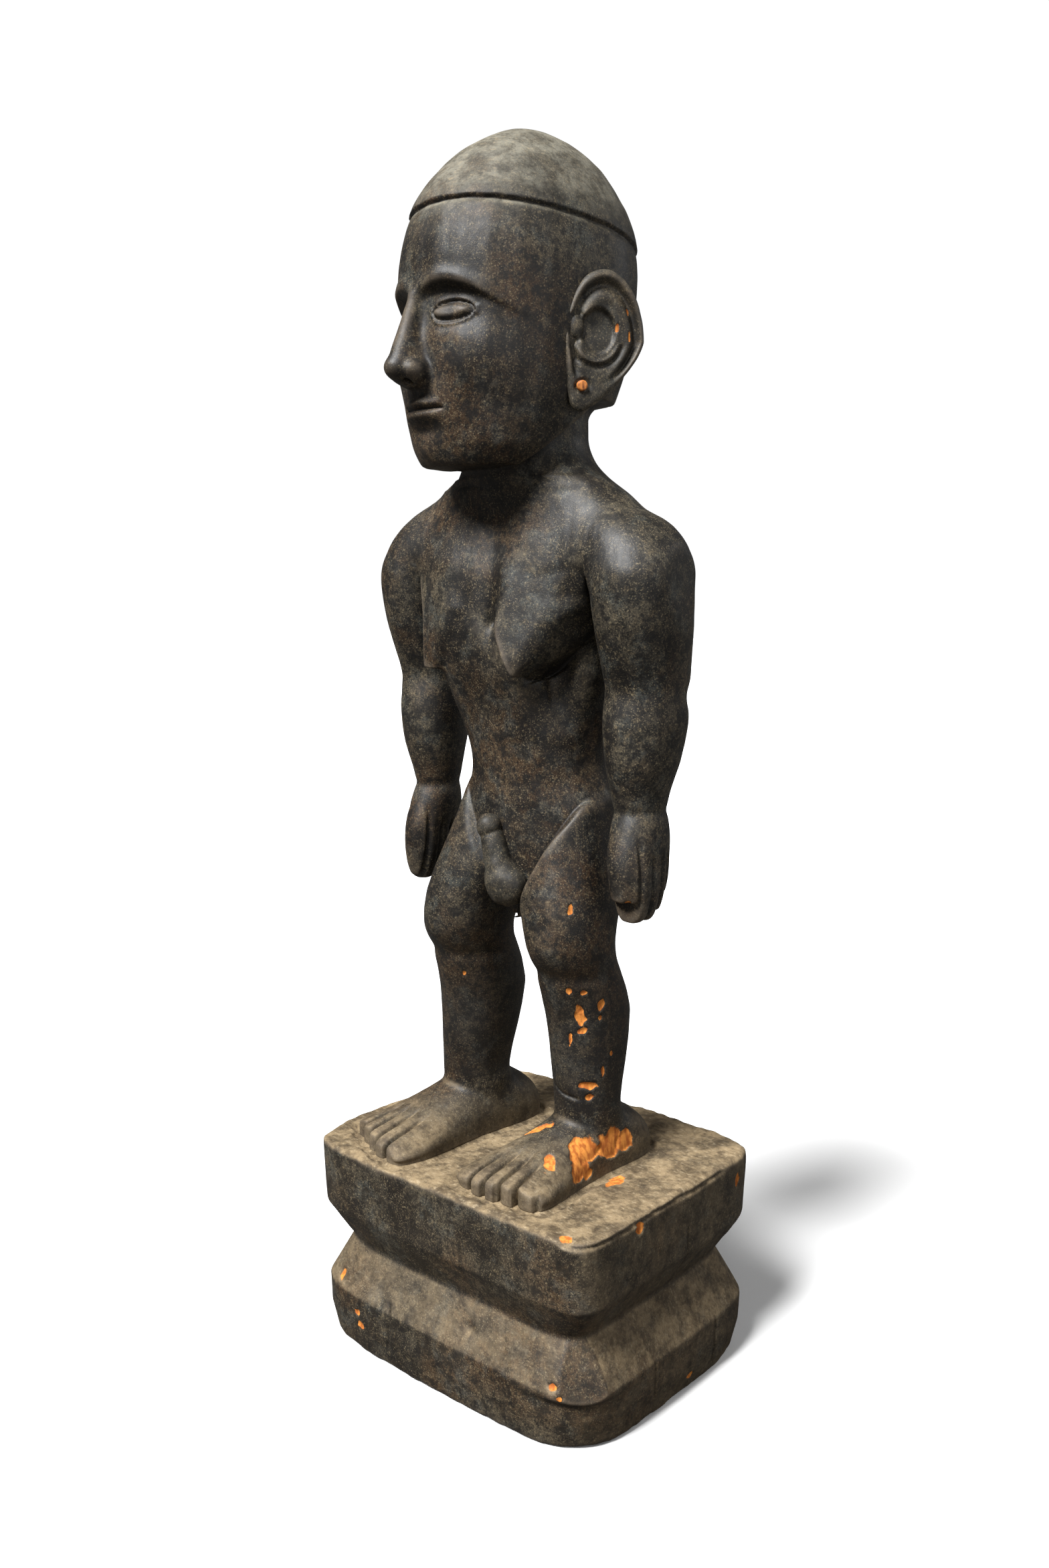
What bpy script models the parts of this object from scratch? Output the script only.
"""Carved ancestor figure: a standing wooden figure on a two-tier plinth.

The figure faces -Y, its left hand is at +X, and the origin is at the centre of the
plinth's underside. Every named solid is one carved region of the same block of wood,
divided along the carver's own lines. Only the two ear plugs are separate pieces.
"""
import math

import bmesh
import bpy
from mathutils import Matrix, Vector

MM = 0.001
GAP = 0.0003                      # clearance between neighbouring solids
COLLECTION = "ancestor_figure"

# Driving dimensions, in metres.
PLINTH_WIDTH = 0.190
PLINTH_DEPTH = 0.152
PLINTH_HEIGHT = 0.108
NOTCH_HEIGHT = 0.0545             # where the two tiers meet
NOTCH_SCALE = 0.885               # size of the notch outline over the rim outline
LOWER_TIER_SCALE = 1.025          # size of the lower tier's outline over the rim outline
UPPER_SIDE_FOOT = 0.0735          # the upper tier's upright side starts here
LOWER_SIDE_TOP = 0.030            # the lower tier's upright side ends here
ANKLE = PLINTH_HEIGHT + 0.031
KNEE = PLINTH_HEIGHT + 0.106
GROIN_APEX = {1: 0.220, -1: 0.238}   # where each groin line would reach the middle
GROIN_RISE = 1.80                 # rise of the groin lines over their run
WAIST = 0.312
NECK_BASE = 0.4405
JAW = 0.4520
ELBOW = 0.352
WRIST = 0.293
CAP_RIM = 0.5600                  # height of the cap's rim on the head's axis
CAP_RIM_SLOPE = math.radians(8.0)  # the rim drops towards the nape
HEAD_TURN = math.radians(-12.0)   # the head looks a little to its right
HEAD_AXIS = Vector((0.0, 0.004, 0.0))
EAR_CENTRE = Vector((0.0500, 0.002, 0.5075))
EAR_HALF_SIZE = (0.0050, 0.0190, 0.0310)
EAR_FLARE = math.radians(22.0)
PLUG_RADIUS = 0.0024
PLUG_LENGTH = 0.0135
PLUG_DROP = 0.0200                # below the ear's centre
PLUG_FORWARD = 0.0120             # in front of the ear's centre
LOBE_FORWARD = 0.0110             # how far the lobe swings forward of the ear's centre
LOBE_NARROWING = 0.35

ROUND_SIDES = 24

# Sections in millimetres: height, centre x, centre y, half width, half depth.
# Limbs are given for the left side and mirrored for the right.
LEG = (
    (108.3, 38, 6, 17, 21),
    (122, 38, 4, 16, 19),
    (139, 38, 1, 15.5, 17),
    (160, 37, 3, 17, 20),
    (186, 35.5, 4, 19, 23),
    (208, 34.5, -3, 19, 22),
    (222, 34, -8, 20, 23),
    (240, 31.5, -6, 22, 26),
    (260, 27, -2, 24, 27),
    (280, 25, 1, 22, 27),
    (304, 22, 1, 21, 25),
)
LEG_STOUTNESS = {1: 1.02, -1: 1.08}     # left and right, as carved
LEG_SPREAD = {1: -2.0, -1: 3.0}         # extra distance from the middle
HIP_SLIMNESS = {1: 0.0, -1: 1.0}        # the right hip is carved slimmer
TRUNK = (
    (232, 0, 5, 40, 27),
    (262, 0, 5, 44, 29),
    (288, 0, 3, 43, 27),
    (310, 0, 1, 35.5, 25),
    (332, 0, -1, 39, 28),
    (355, 0, -5, 46, 33),
    (378, 0, -6, 48, 35),
    (394, 0, -4, 51, 34),
    (406, 0, -3, 64, 32),
    (418, 0, -1, 74, 30),
    (430, 0, 0, 72, 27),
    (440, 0, 0, 60, 27),
    (449, 0, 0, 43, 28),
    (458, 0, 0, 34.5, 28.5),
    (480, 0, 0, 32, 29),
)
ARM = (
    (292, 67.5, 0, 11.5, 14),
    (300, 67.5, 0, 12.5, 15.5),
    (315, 68.5, 0, 16, 19.5),
    (334, 69, 1, 18.5, 22),
    (350, 69, 2, 18, 21.5),
    (364, 69.5, 0, 19, 24),
    (380, 70.5, -3, 20.5, 26),
    (398, 70.5, -5, 22, 27),
    (412, 69, -4, 23, 27),
    (424, 65, -2, 22, 24),
    (434, 58, 0, 18, 21),
    (440, 54, 1, 11, 14),
)
ARM_STOUTNESS = {1: 1.0, -1: 0.92}
SHOULDER_DROP = {1: 7.0, -1: 1.0}       # the left shoulder is carved lower
SHOULDER_START = 398                    # height where the drop begins
HAND = (
    (240, 70, -5, 5.5, 9),
    (244, 70.5, -5, 8, 13),
    (256, 70, -4, 11, 17),
    (270, 69, -3, 12, 18.5),
    (282, 68, -1, 12.5, 17),
    (292, 67.5, 0, 11.5, 14),
)
HEAD = (
    (452, 0, -23, 29, 34),
    (462, 0, -19, 38, 42),
    (485, 0, -13, 45, 52),
    (510, 0, -9.5, 48, 57),
    (535, 0, -8, 49, 59),
    (552, 0, -7, 48, 58),
    (572, 0, -6, 42.5, 52),
    (590, 0, -5, 31.5, 39.5),
    (601, 0, -4, 19.5, 25),
    (607.5, 0, -4, 8, 10),
)
# A plain straight nose; the face is divided in thirds between chin, nostrils, brow and rim.
NOSE = (
    (488, 0, -64, 6, 8),
    (491, 0, -66, 8.5, 11),
    (497, 0, -67, 7.5, 11.5),
    (508, 0, -66, 5.5, 9.5),
    (520, 0, -63, 4.5, 7.5),
    (529, 0, -60, 4, 6),
)
# Feet in millimetres: distance behind the ankle's axis, half width, height.
FOOT = (
    (-72, 24, 6),
    (-67, 27.5, 9),
    (-52, 27.5, 13),
    (-34, 23.5, 19),
    (-14, 20, 27),
    (8, 18.5, 29),
    (24, 17, 22),
    (33, 12, 14),
)
FOOT_TURN = {1: math.radians(-6.0), -1: math.radians(-11.0)}   # both point to the right


def linear(channel):
    """Linear value of one sRGB colour channel."""
    if channel <= 0.04045:
        return channel / 12.92
    return ((channel + 0.055) / 1.055) ** 2.4


def wood(name, colour, roughness):
    """Plain Principled material in one sRGB colour."""
    material = bpy.data.materials.new(name)
    material.use_nodes = True
    shader = material.node_tree.nodes["Principled BSDF"]
    shader.inputs["Base Color"].default_value = (*[linear(c) for c in colour], 1.0)
    shader.inputs["Roughness"].default_value = roughness
    shader.inputs["Metallic"].default_value = 0.0
    return material


def smooth_value(before, start, end, after, t):
    """Catmull-Rom value between start and end."""
    slope_in = (end - before) / 2
    slope_out = (after - start) / 2
    t2 = t * t
    t3 = t2 * t
    return ((2 * t3 - 3 * t2 + 1) * start + (t3 - 2 * t2 + t) * slope_in
            + (3 * t2 - 2 * t3) * end + (t3 - t2) * slope_out)


def finer(sections, steps):
    """The sections with steps - 1 smooth ones between each pair."""
    rows = [sections[0]]
    last = len(sections) - 1
    for index in range(last):
        around = [sections[min(max(index + shift, 0), last)] for shift in (-1, 0, 1, 2)]
        for step in range(1, steps + 1):
            rows.append(tuple(smooth_value(*values, step / steps) for values in zip(*around)))
    return rows


def add_object(name, mesh, material=None):
    """Object for a mesh, in the part's collection."""
    part = bpy.data.objects.new(name, mesh)
    parts.objects.link(part)
    if material:
        mesh.materials.clear()
        mesh.materials.append(material)
    return part


def mesh_from_rings(name, rings):
    """Closed body through rings of points, with flat ends."""
    body = bmesh.new()
    loops = [[body.verts.new(point) for point in ring] for ring in rings]
    for lower, upper in zip(loops, loops[1:]):
        for i in range(len(lower)):
            j = (i + 1) % len(lower)
            body.faces.new((lower[i], lower[j], upper[j], upper[i]))
    body.faces.new(list(reversed(loops[0])))
    body.faces.new(loops[-1])
    bmesh.ops.recalc_face_normals(body, faces=body.faces)
    mesh = bpy.data.meshes.new(name)
    body.to_mesh(mesh)
    body.free()
    return mesh


def rounded_ring(height, centre_x, centre_y, half_width, half_depth, power, sides):
    """Level superellipse ring, all in metres."""
    ring = []
    for step in range(sides):
        angle = 2 * math.pi * step / sides
        cosine = math.cos(angle)
        sine = math.sin(angle)
        ring.append(Vector((
            centre_x + half_width * math.copysign(abs(cosine) ** (2 / power), cosine),
            centre_y + half_depth * math.copysign(abs(sine) ** (2 / power), sine),
            height)))
    return ring


def limb(name, sections, side=1, grow=0.0, stoutness=1.0, spread=0.0):
    """Loft through level sections given in millimetres."""
    rings = []
    for height, x, y, half_width, half_depth in finer(sections, 2):
        rings.append(rounded_ring(height * MM, side * (x + spread) * MM, y * MM,
                                  stoutness * half_width * MM + grow,
                                  stoutness * half_depth * MM + grow, 2.2, ROUND_SIDES))
    return add_object(name, mesh_from_rings(name, rings))


def foot_body(name, side):
    """Loft from the toes to the heel, with a flat sole."""
    rings = []
    sole = PLINTH_HEIGHT + GAP
    ankle_x = side * (LEG[1][1] + LEG_SPREAD[side]) * MM
    placing = Matrix.Translation((ankle_x, LEG[1][2] * MM, sole)) \
        @ Matrix.Rotation(FOOT_TURN[side], 4, "Z")
    for y, half_width, height in finer(FOOT, 2):
        ring = []
        for step in range(15):
            angle = math.pi * step / 14
            ring.append(placing @ Vector((half_width * math.cos(angle) * MM, y * MM,
                                          height * MM * math.sin(angle) ** 0.7)))
        rings.append(ring)
    return add_object(name, mesh_from_rings(name, rings))


def result_mesh(part):
    """The part's mesh with its modifiers applied."""
    bpy.context.view_layer.update()
    evaluated = part.evaluated_get(bpy.context.evaluated_depsgraph_get())
    return bpy.data.meshes.new_from_object(evaluated)


def combined(name, base, others, operation):
    """Boolean of base with the others, all of which are used up."""
    for other in others:
        modifier = base.modifiers.new("join", "BOOLEAN")
        modifier.operation = operation
        modifier.object = other
    mesh = result_mesh(base)
    for used in (base, *others):
        bpy.data.objects.remove(used)
    return add_object(name, mesh)


def region(name, source, planes, material):
    """The part of source behind every plane, given as a point and an outward normal."""
    body = bmesh.new()
    body.from_mesh(source.data)
    for point, normal in planes:
        normal = Vector(normal).normalized()
        everything = [*body.verts, *body.edges, *body.faces]
        cut = bmesh.ops.bisect_plane(body, geom=everything, dist=1e-7, clear_outer=True,
                                     plane_co=Vector(point) - normal * GAP / 2, plane_no=normal)
        rim = [item for item in cut["geom_cut"] if isinstance(item, bmesh.types.BMEdge)]
        bmesh.ops.holes_fill(body, edges=rim, sides=0)
    bmesh.ops.triangulate(body, faces=[face for face in body.faces if len(face.verts) > 4])
    bmesh.ops.dissolve_degenerate(body, edges=body.edges, dist=1e-6)
    bmesh.ops.recalc_face_normals(body, faces=body.faces)
    mesh = bpy.data.meshes.new(name)
    body.to_mesh(mesh)
    body.free()
    mesh.shade_smooth()
    mesh.set_sharp_from_angle(angle=math.radians(40))
    return add_object(name, mesh, material)


def level(height, upwards):
    """Level cutting plane that keeps what is below it, or above it."""
    return (0, 0, height), (0, 0, 1 if upwards else -1)


def remove(*used):
    for item in used:
        bpy.data.objects.remove(item)


def make_plinth():
    """Two tiers with rounded corners that narrow to the notch between them."""
    lower = (
        (0.0, 0.985, 4.8),
        (0.003, 1.0, 4.8),
        (0.016, LOWER_TIER_SCALE, 5.0),
        (LOWER_SIDE_TOP, LOWER_TIER_SCALE, 5.2),
        (NOTCH_HEIGHT - GAP / 2, NOTCH_SCALE, 5.5),
    )
    upper = (
        (NOTCH_HEIGHT + GAP / 2, NOTCH_SCALE, 5.5),
        (UPPER_SIDE_FOOT, 1.0, 6.5),
        (PLINTH_HEIGHT - 0.002, 1.0, 7.5),
        (PLINTH_HEIGHT, 0.985, 7.5),
    )
    for name, tier in (("plinth_lower_tier", lower), ("plinth_upper_tier", upper)):
        rings = [rounded_ring(height, 0, 0, PLINTH_WIDTH / 2 * scale, PLINTH_DEPTH / 2 * scale,
                              power, 64) for height, scale, power in tier]
        part = add_object(name, mesh_from_rings(name, rings), dusty_wood)
        part.data.shade_smooth()
        part.data.set_sharp_from_angle(angle=math.radians(25))


def groin(side):
    """Plane of the V-shaped line from the groin to one hip; its normal points up and in."""
    return (0, 0, GROIN_APEX[side]), (-side * GROIN_RISE, 0, 1)


def shoulder(side):
    """Plane between one arm and the trunk; its normal points out."""
    return (side * 0.0500, 0, 0.380), (side * 0.070, 0, -0.008)


def opposite(plane):
    point, normal = plane
    return point, tuple(-value for value in normal)


def slimmed_leg(side):
    """The leg's sections with the hip drawn in."""
    rows = []
    for height, x, y, half_width, half_depth in LEG:
        draw = HIP_SLIMNESS[side] * max(0.0, height - 236) / 68
        rows.append((height, x - 9 * draw, y + 2 * draw, half_width - 3.5 * draw,
                     half_depth - 4 * draw))
    return rows


def make_legs():
    for side, word in ((1, "left"), (-1, "right")):
        leg = limb("leg", slimmed_leg(side), side, stoutness=LEG_STOUTNESS[side],
                   spread=LEG_SPREAD[side])
        whole = combined("whole_leg", leg, [foot_body("foot", side)], "UNION")
        region(word + "_foot", whole, [level(ANKLE, True)], dusty_wood)
        region(word + "_lower_leg", whole, [level(ANKLE, False), level(KNEE, True)], dark_wood)
        region(word + "_thigh", whole, [level(KNEE, False), groin(side)], dark_wood)
        remove(whole)


def make_trunk():
    whole = limb("whole_trunk", TRUNK)
    sides = [shoulder(1), shoulder(-1)]
    hips = [opposite(groin(1)), opposite(groin(-1))]
    region("abdomen", whole, [*hips, level(WAIST, True)], dark_wood)
    region("chest", whole, [*sides, level(WAIST, False), level(NECK_BASE, True)], dark_wood)
    region("neck", whole, [level(NECK_BASE, False), level(JAW, True)], dark_wood)
    remove(whole)


def lowered_arm(side):
    """The arm's sections with the top of the shoulder pressed down."""
    room = ARM[-1][0] - SHOULDER_START
    return [(height - SHOULDER_DROP[side] * max(0.0, height - SHOULDER_START) / room, *rest)
            for height, *rest in ARM]


def make_arms():
    for side, word in ((1, "left"), (-1, "right")):
        arm = limb("arm", lowered_arm(side), side, stoutness=ARM_STOUTNESS[side])
        region(word + "_forearm", arm, [level(WRIST, False), level(ELBOW, True)], dark_wood)
        region(word + "_upper_arm", arm, [level(ELBOW, False), opposite(shoulder(side))],
               dark_wood)
        hand = limb("hand", HAND, side, stoutness=ARM_STOUTNESS[side])
        region(word + "_hand", hand, [level(WRIST, True)], dark_wood)
        remove(arm, hand)


def turn_head(*pieces):
    """Turn pieces about the neck's axis."""
    turn = Matrix.Translation(HEAD_AXIS) @ Matrix.Rotation(HEAD_TURN, 4, "Z") \
        @ Matrix.Translation(-HEAD_AXIS)
    for piece in pieces:
        piece.data.transform(turn)


def make_genitals():
    """Plain carved relief, part of the same block."""
    shaft = limb("shaft", ((244, 2, -27, 5, 6), (254, 1, -29, 5.5, 6), (270, -2, -29, 5.5, 6),
                           (280, -4, -28, 6, 6.5), (286, -5, -26, 2.5, 3)))
    pouch = limb("pouch", ((236, 0, -22, 4, 5), (240, 0, -24, 9, 9), (248, 0, -25, 11, 10.5),
                           (256, 0, -24, 9, 9), (261, 0, -23, 4, 5)))
    neighbours = [limb("clear_trunk", TRUNK[:4], grow=GAP)]
    for side in (1, -1):
        neighbours.append(limb("clear_leg", slimmed_leg(side)[4:], side, grow=GAP,
                               stoutness=LEG_STOUTNESS[side], spread=LEG_SPREAD[side]))
    joined = combined("joined", shaft, [pouch], "UNION")
    carved = combined("carved", joined, neighbours, "DIFFERENCE")
    region("genitals", carved, [], dark_wood)
    remove(carved)


def make_head():
    nape_stub = limb("nape_stub", TRUNK[-3:])
    skull = limb("skull", HEAD)
    nose = limb("nose", NOSE)
    turn_head(skull, nose)
    whole = combined("whole_head", skull, [nose, nape_stub], "UNION")
    rim = (0, 0, CAP_RIM), (0, math.sin(CAP_RIM_SLOPE), math.cos(CAP_RIM_SLOPE))
    region("head", whole, [level(JAW, False), rim], dark_wood)
    region("cap", whole, [opposite(rim)], dark_wood)
    remove(whole)


def cylinder(name, radius, length, centre):
    """Round bar along X."""
    bar = bmesh.new()
    bmesh.ops.create_cone(bar, cap_ends=True, segments=20, radius1=radius, radius2=radius,
                          depth=length, matrix=Matrix.Rotation(math.radians(90), 4, "Y"))
    mesh = bpy.data.meshes.new(name)
    bar.to_mesh(mesh)
    bar.free()
    mesh.transform(Matrix.Translation(centre))
    return add_object(name, mesh)


def clear_skull():
    """The skull's loft with clearance, turned with the head."""
    skull = limb("clear_skull", HEAD, grow=GAP)
    turn_head(skull)
    return skull


def ear_outline(half_long, half_high):
    """Upright oval whose lower end swings forward into the lobe."""
    outline = []
    for point in rounded_ring(0, 0, 0, half_long, half_high, 2.3, 32):
        drop = max(0.0, -point.y / half_high)
        forward = LOBE_FORWARD * drop ** 1.5
        outline.append((point.x * (1 - LOBE_NARROWING * drop) - forward, point.y))
    return outline


def make_ears():
    """A standing ear on each side, with a wooden plug through its lobe."""
    for side, word in ((1, "left"), (-1, "right")):
        half_thick, half_long, half_high = EAR_HALF_SIZE
        centre = Vector((side * EAR_CENTRE.x, EAR_CENTRE.y, EAR_CENTRE.z))
        rings = []
        for offset, scale in ((-1.4, 0.80), (-0.8, 0.92), (0.4, 1.0), (1.0, 0.94), (1.25, 0.80)):
            ring = ear_outline(half_long * scale, half_high * scale)
            rings.append([Vector((side * offset * half_thick, y, z)) for y, z in ring])
        ear = add_object("ear", mesh_from_rings("ear", rings))
        placing = Matrix.Translation(centre) @ Matrix.Rotation(-side * EAR_FLARE, 4, "Z")
        ear.data.transform(placing)
        plug_centre = placing @ Vector((0, -PLUG_FORWARD, -PLUG_DROP))
        plug = cylinder("plug", PLUG_RADIUS, PLUG_LENGTH, plug_centre)
        hole = cylinder("hole", PLUG_RADIUS + GAP, 3 * PLUG_LENGTH, plug_centre)
        turn_head(ear, plug, hole)
        carved = combined("carved_ear", ear, [hole, clear_skull()], "DIFFERENCE")
        region(word + "_ear", carved, [], dark_wood)
        remove(carved)
        trimmed = combined("trimmed_plug", plug, [clear_skull()], "DIFFERENCE")
        region(word + "_ear_plug", trimmed, [], bare_wood)
        remove(trimmed)


for old in list(bpy.data.objects):
    bpy.data.objects.remove(old)
parts = bpy.data.collections.new(COLLECTION)
bpy.context.scene.collection.children.link(parts)
dark_wood = wood("dark_patina", (0.20, 0.18, 0.16), 0.45)
dusty_wood = wood("dusty_patina", (0.30, 0.25, 0.20), 0.65)
bare_wood = wood("bare_wood", (0.70, 0.42, 0.18), 0.70)

make_plinth()
make_legs()
make_trunk()
make_arms()
make_genitals()
make_head()
make_ears()
